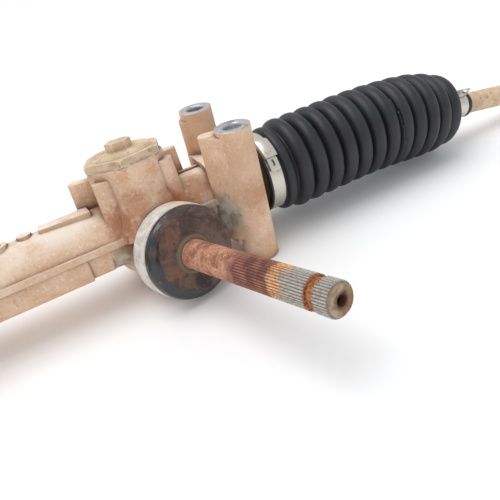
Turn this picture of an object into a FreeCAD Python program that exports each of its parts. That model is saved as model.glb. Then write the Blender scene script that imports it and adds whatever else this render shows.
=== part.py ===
import FreeCAD, Part
import math
import os

# Steering rack of a small off-road vehicle, with its pinion, yoke, bellows and inner tie rods.
# Millimetres. The origin is the middle of the four mounting holes, on the plane of their feet.
# X runs along the rack, towards the pinion end. Z runs up the mounting holes.
# The pinion's input shaft points towards -Y. It and the yoke lean back about the rack's axis.

V = FreeCAD.Vector

# Mounting feet
mount_spacing_x = 220.0
mount_spacing_y = 53.5
mount_tube_d = 20.2
mount_bore_d = 10.6
mount_height = 81.0
mount_chamfer = 0.8

# Rack bar and its travel
rack_height = 36.4
rack_bar_d = 24.0
rack_travel = 50.0
rack_bush_length = 24.0
running_clearance = 0.03
travel_spare = 0.5
rack_stud_d = 14.0
rack_stud_length = 13.0

# Housing casting
housing_lean = math.radians(8.2)
housing_tube_d = 36.4
rack_bore_d = 28.0
spigot_reach = 31.0
spigot_length = 13.0
spigot_d = 42.4
bridge_width = 19.0
bridge_offset = 3.0
bridge_bottom = 11.0
bridge_top = 55.0
collar_wall = 3.3
collar_overhang = 2.0
front_column_d = 9.6
front_column_x = 12.5
front_column_y = 9.0
front_column_start = 52.4
front_column_top = 78.0
front_root_x = 11.0
front_root_y = 7.5
front_root_start = 15.0
front_root_top = 57.0
back_column_d = 11.0
back_column_x = 6.5
back_column_start = 44.4
back_column_top = 76.4
seam_rib_reach = 20.7
seam_rib_thickness = 3.6
seam_rib_lift = 0.3
top_rib_height = 1.0
top_rib_thickness = 3.0
keel_front = 18.5
keel_depth = 16.6
keel_corner = 7.8
keel_step = 1.4
keel_step_x = 14.2
keel_end_x = 27.0
pad_height = 1.4
lug_d = 12.0
lobe_d = 8.4

# Pinion and its mesh
pinion_from_mount = 54.9
pinion_skew = math.radians(13.2)
pinion_teeth = 7
gear_module = 1.85
pressure_angle = math.radians(25.0)
profile_shift = 0.5
rack_addendum = 1.02
pinion_addendum = 2.13
root_clearance = 0.35
backlash = 0.10
pitch_line_depth = 7.2
pinion_face = 26.0
rack_gap_count = 22

# Pinion shaft, along its own axis from where it crosses under the rack
cap_face = 43.7
input_length = 107.3
shaft_d = 16.0
seal_journal_d = 16.6
seal_journal_step = 0.3
spline_d = 15.9
spline_root_d = 14.8
spline_teeth = 36
spline_start = 89.0
groove_start = 137.6
groove_length = 4.4
groove_d = 13.2
tip_chamfer = 1.6
centre_hole_d = 4.4
centre_hole_depth = 5.0
journal_d = 17.0
shoulder_d = 20.4
shoulder_start = 18.0
tail_d = 10.0
tail_length = 13.0
tail_bush_wall = 2.0

# Ball bearing on the pinion shaft
bearing_start = 20.0
bearing_width = 10.0
bearing_outer_d = 35.0
bearing_ball_count = 9
bearing_ball_d = 4.76
ball_play = 0.04
race_gap = 3.0
cage_thickness = 1.2
cage_width = 6.4
circlip_thickness = 1.2
circlip_depth = 0.9
circlip_width = 2.6

# Pinion boss, seal and dust cap
boss_ring_d = 53.0
boss_ring_start = 26.0
boss_ring_end = 37.1
boss_neck_d = 46.0
boss_face = 41.6
boss_body_d = 42.0
boss_rear = 22.0
boss_rear_d = 25.0
boss_rear_length = 8.0
seal_depth = 5.2
cap_d = 52.0
cap_round = 3.2
cap_lip_d = 21.0
cap_lip_height = 1.5
cap_clearance = 0.2

# Yoke boss and its parts, with heights above the rack's axis
yoke_d = 28.0
yoke_height = 24.0
yoke_floor = 2.0
yoke_liner_wall = 1.0
yoke_pocket_d = 17.0
yoke_pocket_depth = 10.0
boss_d = 44.0
boss_top = 38.0
plug_d = 36.0
plug_bottom = 26.1
plug_stand = 1.5
plug_head_flats = 13.0
plug_head_height = 5.0
plug_head_turn = -7.8
lock_nut_flats = 41.0
lock_nut_height = 4.6
lock_nut_turn = 15.0
o_ring_d = 2.2
o_ring_up = 17.0
spring_wire_d = 2.4
spring_coils = 2.75
post_d = 11.4
front_post_x = 17.6
front_post_y = 12.5
front_post_top = 33.6
back_post_x = 27.6
back_post_y = 12.5
back_post_top = 33.0

# Inner ball joints and tie rods
ball_r = 12.0
seat_wall = 2.0
joint_play = 0.03
socket_d = 34.0
socket_back = 30.0
socket_nose = 7.5
socket_nose_d = 29.0
mouth_start = 5.0
mouth_r = 9.6
mouth_slope = 0.62
socket_flats = 30.0
socket_flat_length = 9.0
lock_washer_thickness = 2.0
tie_rod_droop = math.radians(8.8)
tie_rod_length = 198.0
tie_rod_d = 14.6
tie_neck_d = 10.0
tie_neck_end = 17.0
tie_body_start = 23.0
tie_thread_d = 12.0
tie_thread_length = 42.0
tie_flats = 12.0

# Bellows and clamps, measured along the bellows from the mounting holes beside it
cuff_start = 16.3
cuff_end = 27.3
cuff_d = 47.0
lip_end = 33.5
lip_d = 52.0
crest_first = 40.5
crest_pitch = 11.0
crest_count = 12
crest_flat = 3.2
crest_d = 57.8
last_crests = (57.2, 54.8, 49.6)
valley_d = 45.4
bellows_wall = 1.1
bellows_clearance = 0.3
bend_reach = 32.0
neck_start = 168.0
neck_end = 191.0
neck_d = 17.2
band_start = 18.0
band_width = 8.6
band_thickness = 0.8
buckle_width = 15.0
buckle_height = 2.0
small_clamp_start = 177.0
small_clamp_width = 10.0
small_clamp_wall = 0.9
small_clamp_ear = 7.0
small_clamp_turn = 25.0
small_clamp_gap = 5.2

# Places worked out from the sizes above
pair_x = mount_spacing_x / 2
mount_y = mount_spacing_y / 2
housing_end = pair_x + spigot_reach
washer_x = housing_end + rack_travel + travel_spare
socket_x = washer_x + lock_washer_thickness
ball_x = socket_x + socket_back
pinion_x = pair_x - pinion_from_mount
ball_circle_d = (journal_d + bearing_outer_d) / 2
rack_bar_r = rack_bar_d / 2
rack_bore_r = rack_bore_d / 2
pitch_r = pinion_teeth * gear_module / 2
base_r = pitch_r * math.cos(pressure_angle)
tip_r = pitch_r + pinion_addendum
root_r = pitch_r - rack_addendum - root_clearance
circular_pitch = math.pi * gear_module
shift_width = 2 * profile_shift * gear_module * math.tan(pressure_angle)
pinion_height = rack_height - pitch_line_depth - pitch_r
pinion_dir = V(math.sin(pinion_skew), -math.cos(pinion_skew), 0)
pinion_side = V(math.cos(pinion_skew), math.sin(pinion_skew), 0)
pinion_centre = V(pinion_x, 0, pinion_height)
pinion_tip = cap_face + input_length
seal_journal_end = cap_face + cap_lip_height + cap_clearance
boss_top_z = rack_height + boss_top
x_dir = V(1, 0, 0)
z_dir = V(0, 0, 1)
rod_dir = V(math.cos(tie_rod_droop), 0, -math.sin(tie_rod_droop))
ball_centre = V(ball_x, 0, rack_height)
seat_r = ball_r + seat_wall


def cylinder(radius, base, direction, length):
    return Part.makeCylinder(radius, length, base, direction)


def revolved(points, origin, direction):
    """Turns a closed outline of (distance along, radius) points about an axis."""
    side = direction.cross(z_dir)
    if side.Length < 0.1:
        side = direction.cross(x_dir)
    side.normalize()
    corners = [origin + direction * along + side * radius for along, radius in points]
    outline = Part.makePolygon(corners + [corners[0]])
    return Part.Face(outline).revolve(origin, direction, 360)


def ring(inner_r, outer_r, origin, direction, start, end):
    outline = [(start, inner_r), (end, inner_r), (end, outer_r), (start, outer_r)]
    return revolved(outline, origin, direction)


def hexagon(flats, base, direction, length, turn=0.0):
    radius = flats / math.sqrt(3)
    across = direction.cross(V(0, 1, 0)).normalize()
    up = direction.cross(across)
    corners = []
    for step in range(6):
        angle = math.radians(turn + 60 * step)
        corners.append(base + across * (radius * math.cos(angle)) + up * (radius * math.sin(angle)))
    return Part.Face(Part.makePolygon(corners + [corners[0]])).extrude(direction * length)


def prism(points, height_from, height_to):
    corners = [V(x, y, height_from) for x, y in points]
    outline = Part.makePolygon(corners + [corners[0]])
    return Part.Face(outline).extrude(V(0, 0, height_to - height_from))


def box(x_range, y_range, z_range):
    size = [high - low for low, high in (x_range, y_range, z_range)]
    return Part.makeBox(*size, V(x_range[0], y_range[0], z_range[0]))


def along_pinion(distance):
    return pinion_centre + pinion_dir * distance


def turned_round(shape):
    """The same piece for the left end. It is alike on both sides of the rack's middle plane."""
    turned = shape.copy()
    turned.rotate(V(0, 0, 0), z_dir, 180)
    return turned


def leaned(shape):
    """Turns a shape about the rack's axis, so that the yoke leans away from the input shaft."""
    turned = shape.copy()
    turned.rotate(V(0, 0, rack_height), x_dir, -math.degrees(housing_lean))
    return turned


def export(shape, node):
    shape.exportStep("parts/" + node + ".step")


# Housing casting


def mount_tube(x, y):
    return cylinder(mount_tube_d / 2, V(x, y, 0), z_dir, mount_height)


def mount_hole(x, y):
    hole = cylinder(mount_bore_d / 2, V(x, y, -1), z_dir, mount_height + 2)
    bore_r = mount_bore_d / 2
    top = Part.makeCone(bore_r, bore_r + mount_chamfer, mount_chamfer,
                        V(x, y, mount_height - mount_chamfer), z_dir)
    return hole.fuse(top)


def mount_bridge(side):
    """The web that joins a front and a back tube across the rack, with half columns on its inner side."""
    x = side * pair_x
    middle = x - side * bridge_offset
    low = middle - bridge_width / 2
    web = box((low, low + bridge_width), (-mount_y, mount_y), (bridge_bottom, bridge_top))
    front = cylinder(front_column_d / 2, V(x - side * front_column_x, front_column_y - mount_y, front_column_start),
                     z_dir, front_column_top - front_column_start)
    front_root = cylinder(front_column_d / 2, V(x - side * front_root_x, front_root_y - mount_y, front_root_start),
                          z_dir, front_root_top - front_root_start)
    back = cylinder(back_column_d / 2, V(x - side * back_column_x, mount_y, back_column_start),
                    z_dir, back_column_top - back_column_start)
    collar_length = bridge_width + 2 * collar_overhang
    collar_r = housing_tube_d / 2 + collar_wall
    collar = cylinder(collar_r, V(middle - collar_length / 2, 0, rack_height), x_dir, collar_length)
    return web.fuse([front, front_root, back, collar])


def spigot():
    """The bellows seat at an end of the housing, with a shallow groove for the clamped cuff."""
    start = housing_end - spigot_length
    outline = [
        (start - 4, 0), (housing_end, 0), (housing_end, spigot_d / 2 - 1),
        (housing_end - 1, spigot_d / 2), (start, spigot_d / 2), (start - 4, housing_tube_d / 2),
    ]
    return revolved(outline, V(0, 0, rack_height), x_dir)


def keel_part(left, right, front, bottom):
    """A straight length of the wall below the seam rib, with a rounded lower corner."""
    corner = V(left, keel_corner - front, bottom + keel_corner)
    turn = keel_corner * math.sqrt(0.5)
    points = [
        V(left, 0, rack_height), V(left, -front, rack_height), V(left, -front, corner.z),
        V(left, corner.y, bottom), V(left, 0, bottom),
    ]
    edges = [Part.makeLine(points[0], points[1]), Part.makeLine(points[1], points[2])]
    edges.append(Part.Arc(points[2], corner - V(0, turn, turn), points[3]).toShape())
    edges += [Part.makeLine(points[3], points[4]), Part.makeLine(points[4], points[0])]
    return Part.Face(Part.Wire(edges)).extrude(V(right - left, 0, 0))


def keel():
    bottom = rack_height - keel_depth
    deep = keel_part(-pair_x, keel_step_x, keel_front, bottom)
    shallow = keel_part(keel_step_x - 1, keel_end_x, keel_front - keel_step, bottom + 0.8)
    return deep.fuse(shallow)


def seam_ribs():
    """The casting's parting line: proud ribs along the front and the back, and a low one on top."""
    middle = rack_height + seam_rib_lift
    low = middle - seam_rib_thickness / 2
    high = middle + seam_rib_thickness / 2
    front = box((-pair_x, pair_x - 15), (-seam_rib_reach, 0), (low, high))
    back = box((-pair_x, pair_x), (0, seam_rib_reach - 1), (low, high))
    half = top_rib_thickness / 2
    top = box((pinion_x, pair_x), (4 - half, 4 + half), (rack_height, rack_height + housing_tube_d / 2 + top_rib_height))
    return front.fuse([back, top])


def top_pads():
    """Flat and round machining pads on top of the tube, beside the yoke boss."""
    tube_top = rack_height + housing_tube_d / 2
    flat = prism([(-1.7, -4.8), (26.4, -7.5), (26.4, 6.5), (-1.7, 5.0)], rack_height, tube_top + pad_height)
    lobe = cylinder(lobe_d / 2, V(-9.8, -0.4, rack_height), z_dir, housing_tube_d / 2 + pad_height)
    lug = cylinder(lug_d / 2, V(-24.8, -2.0, rack_height), z_dir, housing_tube_d / 2 + 1.2)
    lug_hole = cylinder(lug_d / 4, V(-24.8, -2.0, tube_top - 3), z_dir, 6)
    return flat.fuse([lobe, lug]).cut(lug_hole)


def post(x, y, height):
    """A post beside the yoke boss, with a wall of the same height that joins it to the boss."""
    post_r = post_d / 2
    start = V(pinion_x + x, y, rack_height)
    round_end = Part.makeCone(post_r + 0.6, post_r - 0.3, height, start, z_dir)
    inwards = V(-x, -y, 0).normalize()
    across = V(inwards.y, -inwards.x, 0) * (post_r - 0.5)
    root = inwards * (V(x, y, 0).Length - plug_d / 2 - 1)
    corners = [start + across, start + across + root, start - across + root, start - across]
    wall = Part.Face(Part.makePolygon(corners + [corners[0]])).extrude(V(0, 0, height))
    return round_end.fuse(wall)


def yoke_boss():
    boss = cylinder(boss_d / 2, V(pinion_x, 0, pinion_height), z_dir, boss_top_z - pinion_height)
    pieces = []
    for side in (-1, 1):
        pieces.append(post(side * front_post_x, -front_post_y, front_post_top))
        pieces.append(post(side * back_post_x, back_post_y, back_post_top))
    skirt = Part.makeCone(boss_d / 2 + 5, boss_d / 2, 20, V(pinion_x, 0, rack_height - 2), z_dir)
    return boss.fuse(pieces + [skirt])


def pinion_boss():
    outline = [
        (-boss_rear - boss_rear_length, 0), (boss_face, 0), (boss_face, boss_neck_d / 2),
        (boss_ring_end, boss_neck_d / 2), (boss_ring_end, boss_ring_d / 2 - 1),
        (boss_ring_end - 1, boss_ring_d / 2), (boss_ring_start, boss_ring_d / 2),
        (boss_ring_start - 9, boss_body_d / 2), (-boss_rear + 9, boss_body_d / 2),
        (-boss_rear, boss_rear_d / 2 + 4), (-boss_rear, boss_rear_d / 2),
        (-boss_rear - boss_rear_length, boss_rear_d / 2),
    ]
    return revolved(outline, pinion_centre, pinion_dir)


def pinion_cavity():
    bore_r = bearing_outer_d / 2
    clip_start = bearing_start + bearing_width
    outline = [
        (-pinion_face / 2 - 0.5 - tail_length, 0), (boss_face + 1, 0), (boss_face + 1, bore_r),
        (clip_start + circlip_thickness, bore_r), (clip_start + circlip_thickness, bore_r + circlip_depth),
        (clip_start, bore_r + circlip_depth), (clip_start, bore_r), (bearing_start, bore_r),
        (bearing_start, shoulder_d / 2 + 2), (shoulder_start - 1, shoulder_d / 2 + 2),
        (shoulder_start - 1, tip_r + 1), (-pinion_face / 2 - 0.5, tip_r + 1),
        (-pinion_face / 2 - 0.5, tail_d / 2 + tail_bush_wall),
        (-pinion_face / 2 - 0.5 - tail_length, tail_d / 2 + tail_bush_wall),
    ]
    return revolved(outline, pinion_centre, pinion_dir)


def rack_housing():
    tube = cylinder(housing_tube_d / 2, V(-housing_end, 0, rack_height), x_dir, 2 * housing_end)
    core = tube.fuse([keel(), seam_ribs(), top_pads(), yoke_boss(), pinion_boss(), spigot(), turned_round(spigot())])
    solid = leaned(core)
    holes = [cylinder(rack_bore_r, V(-housing_end - 1, 0, rack_height), x_dir, 2 * housing_end + 2)]
    pieces = []
    for side in (-1, 1):
        pieces.append(mount_bridge(side))
        for y in (-mount_y, mount_y):
            pieces.append(mount_tube(side * pair_x, y))
            holes.append(mount_hole(side * pair_x, y))
    solid = solid.fuse(pieces)
    yoke_bore_r = yoke_d / 2 + running_clearance
    plug_bore = cylinder(plug_d / 2, V(pinion_x, 0, rack_height + plug_bottom), z_dir, boss_top)
    holes.append(leaned(cylinder(yoke_bore_r, V(pinion_x, 0, rack_height), z_dir, boss_top)))
    holes += [leaned(plug_bore), leaned(pinion_cavity())]
    for hole in holes:
        solid = solid.cut(hole)
    return solid


# Rack bar


def rack_half_tooth(height_above_pitch):
    """Half of a rack tooth's width, at a height towards its root."""
    at_pitch = (circular_pitch / 2 - shift_width - backlash) / 2
    return at_pitch + height_above_pitch * math.tan(pressure_angle)


def rack_gap(number):
    """The cutter for one gap between two teeth, parallel to the pinion's axis."""
    pitch_z = rack_height - pitch_line_depth
    root_z = pitch_z + pinion_addendum + root_clearance
    low_z = rack_height - rack_bar_r - 1
    pitch_x = circular_pitch / math.cos(pinion_skew)
    middle = V(pinion_x + (number + 0.5) * pitch_x, 0, 0)
    top = circular_pitch / 2 - rack_half_tooth(root_z - pitch_z)
    bottom = circular_pitch / 2 - rack_half_tooth(low_z - pitch_z)
    corners = [
        middle - pinion_side * top + z_dir * root_z,
        middle + pinion_side * top + z_dir * root_z,
        middle + pinion_side * bottom + z_dir * low_z,
        middle - pinion_side * bottom + z_dir * low_z,
    ]
    reach = rack_bar_r + 5
    corners = [corner - pinion_dir * reach for corner in corners]
    return Part.Face(Part.makePolygon(corners + [corners[0]])).extrude(pinion_dir * (2 * reach))


def rack_bar():
    bar = cylinder(rack_bar_r, V(-washer_x, 0, rack_height), x_dir, 2 * washer_x)
    stud_length = lock_washer_thickness + rack_stud_length
    for side in (-1, 1):
        stud = cylinder(rack_stud_d / 2, V(side * washer_x, 0, rack_height), x_dir * side, stud_length)
        bar = bar.fuse(stud)
    pitch_x = circular_pitch / math.cos(pinion_skew)
    tip_z = rack_height - pitch_line_depth - rack_addendum
    half_length = pitch_x * rack_gap_count / 2
    reach = rack_bar_r + 5
    centre = V(pinion_x, 0, tip_z)
    slant = pinion_dir * (reach / math.cos(pinion_skew))
    corners = [
        centre - x_dir * half_length - slant,
        centre + x_dir * half_length - slant,
        centre + x_dir * half_length + slant,
        centre - x_dir * half_length + slant,
    ]
    flat = Part.Face(Part.makePolygon(corners + [corners[0]])).extrude(V(0, 0, -rack_bar_r))
    cutters = [rack_gap(number) for number in range(-rack_gap_count // 2, rack_gap_count // 2)]
    return bar.cut(flat).cut(Part.makeCompound(cutters)).removeSplitter()


def rack_bush():
    start = -housing_end + 3
    inner_r = rack_bar_r + running_clearance
    return ring(inner_r, rack_bore_r, V(0, 0, rack_height), x_dir, start, start + rack_bush_length)


# Pinion shaft


def involute(angle):
    return math.tan(angle) - angle


def flank_angle(radius):
    """Angle from a pinion tooth's middle to its flank, at a radius."""
    at_pitch = (circular_pitch / 2 + shift_width - backlash) / (2 * pitch_r)
    return at_pitch + involute(pressure_angle) - involute(math.acos(min(1.0, base_r / radius)))


def pinion_point(radius, angle):
    """A point on the pinion's end plane, with angle 0 along the rack and 90 degrees up."""
    across = pinion_side * (radius * math.cos(angle))
    return across + z_dir * (radius * math.sin(angle))


def pinion_outline():
    """The toothed outline, with the middle of a gap at the top, under a rack tooth."""
    tooth_angle = 2 * math.pi / pinion_teeth
    flank_steps = 5
    radii = [base_r + (tip_r - base_r) * step / flank_steps for step in range(flank_steps + 1)]
    edges = []
    for tooth in range(pinion_teeth):
        middle = math.pi / 2 + (tooth + 0.5) * tooth_angle
        rising = [pinion_point(radius, middle - flank_angle(radius)) for radius in radii]
        falling = [pinion_point(radius, middle + flank_angle(radius)) for radius in reversed(radii)]
        next_start = pinion_point(base_r, middle + tooth_angle - flank_angle(base_r))
        for points in (rising, falling):
            curve = Part.BSplineCurve()
            curve.interpolate(points)
            edges.append(curve.toShape())
        edges.insert(-1, Part.Arc(rising[-1], pinion_point(tip_r, middle), falling[0]).toShape())
        root = pinion_point(root_r, middle + tooth_angle / 2)
        edges.append(Part.Arc(falling[-1], root, next_start).toShape())
    return Part.Wire(edges)


def pinion_gear():
    wire = pinion_outline()
    wire.translate(along_pinion(-pinion_face / 2))
    return Part.Face(wire).extrude(pinion_dir * pinion_face)


def input_spline():
    corners = []
    for step in range(2 * spline_teeth):
        radius = spline_d / 2 if step % 2 == 0 else spline_root_d / 2
        angle = math.pi * step / spline_teeth
        corners.append(along_pinion(spline_start) + pinion_point(radius, angle))
    outline = Part.Face(Part.makePolygon(corners + [corners[0]]))
    return outline.extrude(pinion_dir * (pinion_tip - spline_start))


def pinion_shaft():
    shaft_r = shaft_d / 2
    clip_end = bearing_start + bearing_width + circlip_thickness
    outline = [
        (-pinion_face / 2 - tail_length, 0), (spline_start, 0), (spline_start, shaft_r - 0.4),
        (spline_start - 0.4, shaft_r), (seal_journal_end, shaft_r),
        (seal_journal_end - seal_journal_step, seal_journal_d / 2),
        (clip_end + 1, seal_journal_d / 2), (clip_end + 0.5, journal_d / 2),
        (clip_end, journal_d / 2), (clip_end, journal_d / 2 - circlip_depth),
        (clip_end - circlip_thickness, journal_d / 2 - circlip_depth),
        (clip_end - circlip_thickness, journal_d / 2), (bearing_start, journal_d / 2),
        (bearing_start, shoulder_d / 2), (shoulder_start, shoulder_d / 2),
        (shoulder_start, root_r), (-pinion_face / 2, root_r), (-pinion_face / 2, tail_d / 2),
        (-pinion_face / 2 - tail_length + 1, tail_d / 2), (-pinion_face / 2 - tail_length, tail_d / 2 - 1),
    ]
    solid = revolved(outline, pinion_centre, pinion_dir)
    link = cylinder(journal_d / 2, along_pinion(pinion_face / 2 - 0.5), pinion_dir,
                    shoulder_start - pinion_face / 2 + 1)
    solid = solid.fuse([pinion_gear(), link, input_spline()])
    groove = ring(groove_d / 2, spline_d, pinion_centre, pinion_dir, groove_start, groove_start + groove_length)
    tip_cut = revolved([
        (pinion_tip - tip_chamfer, spline_d / 2 + 0.1), (pinion_tip + 0.1, spline_d / 2 - tip_chamfer),
        (pinion_tip + 0.1, spline_d), (pinion_tip - tip_chamfer, spline_d),
    ], pinion_centre, pinion_dir)
    hole_r = centre_hole_d / 2
    hole = revolved([
        (pinion_tip - centre_hole_depth, 0), (pinion_tip + 1, 0), (pinion_tip + 1, hole_r + 1),
        (pinion_tip - hole_r, hole_r * 0.6), (pinion_tip - centre_hole_depth + 1, hole_r * 0.6),
    ], pinion_centre, pinion_dir)
    return solid.cut(groove).cut(tip_cut).cut(hole).removeSplitter()


# Bearing and rings on the pinion


def bearing_outer_ring():
    race = Part.makeTorus(ball_circle_d / 2, bearing_ball_d / 2 + ball_play,
                          along_pinion(bearing_start + bearing_width / 2), pinion_dir)
    inner_r = ball_circle_d / 2 + race_gap / 2
    body = ring(inner_r, bearing_outer_d / 2, pinion_centre, pinion_dir,
                bearing_start, bearing_start + bearing_width)
    return body.cut(race)


def bearing_inner_ring():
    race = Part.makeTorus(ball_circle_d / 2, bearing_ball_d / 2 + ball_play,
                          along_pinion(bearing_start + bearing_width / 2), pinion_dir)
    outer_r = ball_circle_d / 2 - race_gap / 2
    body = ring(journal_d / 2, outer_r, pinion_centre, pinion_dir,
                bearing_start, bearing_start + bearing_width)
    return body.cut(race)


def ball_places():
    middle = along_pinion(bearing_start + bearing_width / 2)
    places = []
    for step in range(bearing_ball_count):
        places.append(middle + pinion_point(ball_circle_d / 2, 2 * math.pi * step / bearing_ball_count))
    return places


def bearing_balls():
    return Part.makeCompound([Part.makeSphere(bearing_ball_d / 2, place) for place in ball_places()])


def bearing_cage():
    start = bearing_start + (bearing_width - cage_width) / 2
    body = ring(ball_circle_d / 2 - cage_thickness / 2, ball_circle_d / 2 + cage_thickness / 2,
                pinion_centre, pinion_dir, start, start + cage_width)
    middle = along_pinion(bearing_start + bearing_width / 2)
    for place in ball_places():
        outwards = (place - middle).normalize()
        pocket_r = bearing_ball_d / 2 + ball_play
        body = body.cut(cylinder(pocket_r, place - outwards * pocket_r, outwards, 2 * pocket_r))
    return body


def split_ring(inner_r, outer_r, start, opening):
    """A circlip: a flat ring with a gap at the bottom."""
    body = ring(inner_r, outer_r, pinion_centre, pinion_dir, start, start + circlip_thickness)
    low = along_pinion(start - 1) - pinion_side * (opening / 2)
    corners = [low, low + pinion_side * opening, low + pinion_side * opening - z_dir * (outer_r + 1)]
    corners.append(low - z_dir * (outer_r + 1))
    gap = Part.Face(Part.makePolygon(corners + [corners[0]])).extrude(pinion_dir * (circlip_thickness + 2))
    return body.cut(gap)


def bearing_circlip():
    outer_r = bearing_outer_d / 2 + circlip_depth
    return split_ring(outer_r - circlip_width, outer_r, bearing_start + bearing_width, 6.0)


def shaft_circlip():
    inner_r = journal_d / 2 - circlip_depth
    return split_ring(inner_r, inner_r + circlip_width - 0.4, bearing_start + bearing_width, 4.0)


def tail_bush():
    end = -pinion_face / 2 - 0.5
    inner_r = tail_d / 2 + running_clearance
    return ring(inner_r, tail_d / 2 + tail_bush_wall, pinion_centre, pinion_dir, end - tail_length + 1, end)


def pinion_seal():
    shaft_r = seal_journal_d / 2 + running_clearance
    outer_r = bearing_outer_d / 2
    start = boss_face - seal_depth
    outline = [
        (start + 1.2, shaft_r), (start + 2.4, shaft_r), (boss_face - 1.5, shaft_r + 1.6),
        (boss_face - 1.5, outer_r - 2), (boss_face, outer_r - 2), (boss_face, outer_r),
        (start, outer_r), (start, outer_r - 2), (start + 3.0, outer_r - 2.4), (start + 3.0, shaft_r + 2),
    ]
    return revolved(outline, pinion_centre, pinion_dir)


def pinion_dust_cap():
    """A round cap pressed over the boss, with a rolled rim and a raised lip round the shaft."""
    outer_r = cap_d / 2
    skirt_r = boss_neck_d / 2
    lip_r = cap_lip_d / 2
    hole_r = seal_journal_d / 2 + cap_clearance
    floor = boss_face + 0.2
    back = boss_ring_end + 0.2
    corner = 1 - math.sqrt(0.5)
    outline = [
        (floor, hole_r), (cap_face + cap_lip_height, hole_r), (cap_face + cap_lip_height, lip_r - 1.2),
        (cap_face + 0.2, lip_r), (cap_face - 0.4, outer_r - cap_round - 2.5), (cap_face, outer_r - cap_round),
        (cap_face - cap_round * corner, outer_r - cap_round * corner), (cap_face - cap_round, outer_r),
        (back + 0.8, outer_r), (back, outer_r - 0.8), (back, skirt_r), (floor, skirt_r),
    ]
    return revolved(outline, pinion_centre, pinion_dir)


# Yoke, spring, plug and lock nut


def yoke_saddle(radius):
    return cylinder(radius, V(pinion_x - yoke_d, 0, rack_height), x_dir, 2 * yoke_d)


def yoke():
    bottom = rack_height + yoke_floor
    body = cylinder(yoke_d / 2, V(pinion_x, 0, bottom), z_dir, yoke_height)
    body = body.cut(yoke_saddle(rack_bar_r + running_clearance + yoke_liner_wall))
    pocket = cylinder(yoke_pocket_d / 2, V(pinion_x, 0, bottom + yoke_height - yoke_pocket_depth), z_dir,
                      yoke_pocket_depth + 1)
    middle = bottom + o_ring_up
    groove = ring(yoke_d / 2 - o_ring_d - 0.05, yoke_d, V(pinion_x, 0, 0), z_dir,
                  middle - o_ring_d / 2, middle + o_ring_d / 2)
    return body.cut(pocket).cut(groove)


def yoke_liner():
    """The slippery half shell between the yoke and the rack's back."""
    inner_r = rack_bar_r + running_clearance
    half_length = yoke_d / 2 - 4
    shell = ring(inner_r, inner_r + yoke_liner_wall, V(0, 0, rack_height), x_dir,
                 pinion_x - half_length, pinion_x + half_length)
    keep = box((pinion_x - yoke_d, pinion_x + yoke_d), (-9, 9), (rack_height + yoke_floor, boss_top_z))
    return shell.common(keep)


def yoke_o_ring():
    middle = rack_height + yoke_floor + o_ring_up
    centre_r = yoke_d / 2 + running_clearance - o_ring_d / 2 - 0.01
    return Part.makeTorus(centre_r, o_ring_d / 2 - 0.01, V(pinion_x, 0, middle), z_dir)


def yoke_spring():
    bottom = rack_height + yoke_floor + yoke_height - yoke_pocket_depth
    wire_r = spring_wire_d / 2
    height = rack_height + plug_bottom - bottom - spring_wire_d - 0.1
    coil_r = yoke_pocket_d / 2 - wire_r - 0.3
    helix = Part.makeHelix(height / spring_coils, height, coil_r)
    section = Part.Wire(Part.makeCircle(wire_r, V(coil_r, 0, 0), V(0, 1, 0)))
    coil = Part.Wire(helix.Edges).makePipeShell([section], True, True)
    coil.translate(V(pinion_x, 0, bottom + wire_r + 0.05))
    return coil


def yoke_plug():
    axis_point = V(pinion_x, 0, rack_height)
    face = boss_top + lock_nut_height + plug_stand
    outer_r = plug_d / 2
    outline = [
        (plug_bottom, 0), (face, 0), (face, outer_r - 1.2), (face - 1.2, outer_r), (plug_bottom, outer_r),
    ]
    body = revolved(outline, axis_point, z_dir)
    head_base = axis_point + z_dir * (face - 0.5)
    head = hexagon(plug_head_flats, head_base, z_dir, plug_head_height + 0.5, plug_head_turn)
    corner_r = plug_head_flats / math.sqrt(3)
    trim = revolved([
        (face - 1, 0), (face + plug_head_height, 0), (face + plug_head_height, corner_r - 0.7),
        (face + plug_head_height - 0.6, corner_r + 0.1), (face - 1, corner_r + 0.1),
    ], axis_point, z_dir)
    return body.fuse(head.common(trim))


def lock_nut_blank(radius, height, chamfer):
    """A disc with cone edges, which takes the corners off a hexagon."""
    outline = [
        (0, 0), (height, 0), (height, radius - chamfer), (height - chamfer * 0.5, radius),
        (chamfer * 0.5, radius), (0, radius - chamfer),
    ]
    return outline


def yoke_lock_nut():
    corner_r = lock_nut_flats / math.sqrt(3)
    base = V(pinion_x, 0, boss_top_z)
    body = hexagon(lock_nut_flats, base, z_dir, lock_nut_height, lock_nut_turn)
    trim = revolved(lock_nut_blank(corner_r, lock_nut_height, 1.4), base, z_dir)
    hole = cylinder(plug_d / 2, base - z_dir, z_dir, lock_nut_height + 2)
    return body.common(trim).cut(hole)


# Inner ball joints and tie rods, modelled at the right and turned round for the left


def mouth_cone():
    """The opening that lets a tie rod swing."""
    length = seat_r + 1 - mouth_start
    base = ball_centre + x_dir * mouth_start
    return Part.makeCone(mouth_r, mouth_r + mouth_slope * length, length, base, x_dir)


def ball_socket():
    outer_r = socket_d / 2
    nose_r = socket_nose_d / 2
    outline = [
        (-socket_back, 0), (socket_nose, 0), (socket_nose, nose_r), (2, outer_r),
        (-socket_back + 1, outer_r), (-socket_back, outer_r - 1),
    ]
    body = revolved(outline, ball_centre, x_dir)
    body = body.cut(cylinder(rack_stud_d / 2, V(socket_x - 1, 0, rack_height), x_dir, rack_stud_length + 1))
    body = body.cut(Part.makeSphere(seat_r + joint_play, ball_centre))
    body = body.cut(mouth_cone())
    half = socket_flats / 2
    reach = socket_d
    for side in (-1, 1):
        flat = box((socket_x - 1, socket_x + socket_flat_length),
                   tuple(sorted((side * half, side * reach))), (rack_height - reach, rack_height + reach))
        body = body.cut(flat)
    return body


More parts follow.
